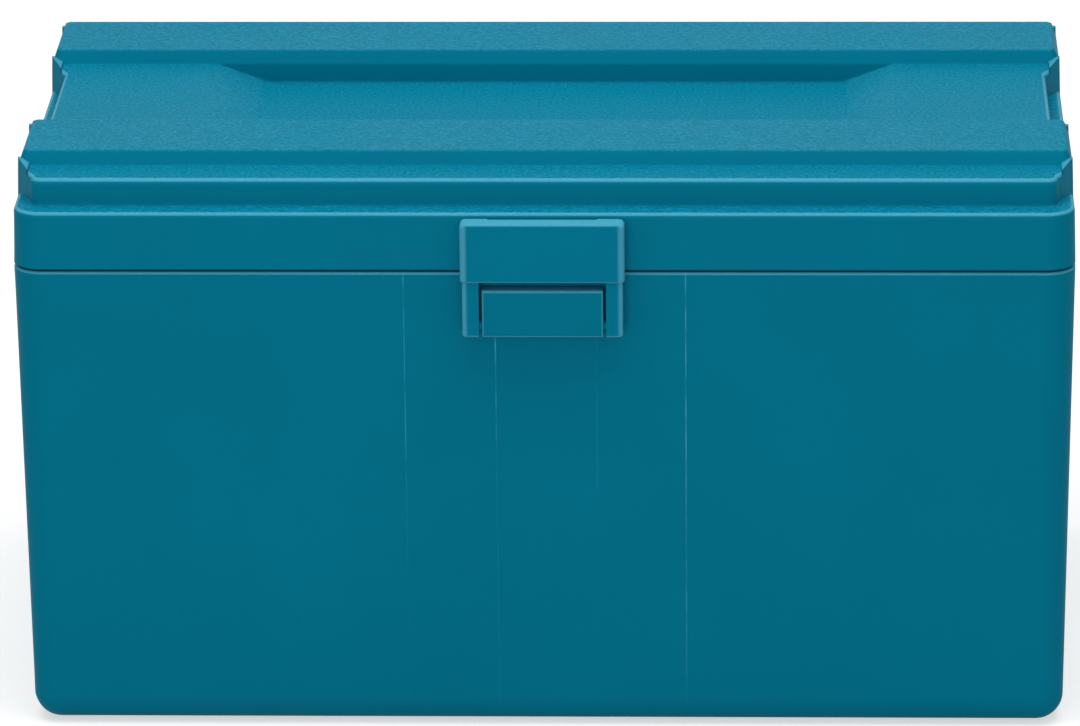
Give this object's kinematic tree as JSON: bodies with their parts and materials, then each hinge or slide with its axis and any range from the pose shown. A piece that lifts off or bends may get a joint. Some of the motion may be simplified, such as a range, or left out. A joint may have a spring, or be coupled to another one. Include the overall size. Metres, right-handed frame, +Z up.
{
  "type": "tool storage bin",
  "caption": "Moulded plastic storage box with a hinged, stepped lid, a sunk pocket across its top and a front snap latch.",
  "frame": {"origin": "centre of the base's standing face", "axes": "+X along the width to the right seen from the latch, -Y out of the latch side, +Z up"},
  "size_m": [0.3, 0.1878, 0.167],
  "materials": {
    "case_plastic": "fine grain, semi-matt",
    "latch_plastic": "fine grain, semi-matt",
    "pin_steel": "drawn wire"
  },
  "bodies": {
    "tub": {"tub": "case_plastic", "latch_pin": "case_plastic", "hinge_pin_left": "pin_steel", "hinge_pin_right": "pin_steel"},
    "lid": {"lid": "case_plastic"},
    "latch": {"latch": "latch_plastic"}
  },
  "joints": [
    {"name": "lid_hinge", "type": "hinge", "parent": "tub", "child": "lid", "pos_m": [0, 0.0916, 0.138], "axis": [-1, 0, 0], "range_deg": [0, 105]},
    {"name": "latch_hinge", "type": "hinge", "parent": "tub", "child": "latch", "pos_m": [0, -0.0901, 0.1231], "axis": [1, 0, 0], "range_deg": [0, 90]}
  ]
}
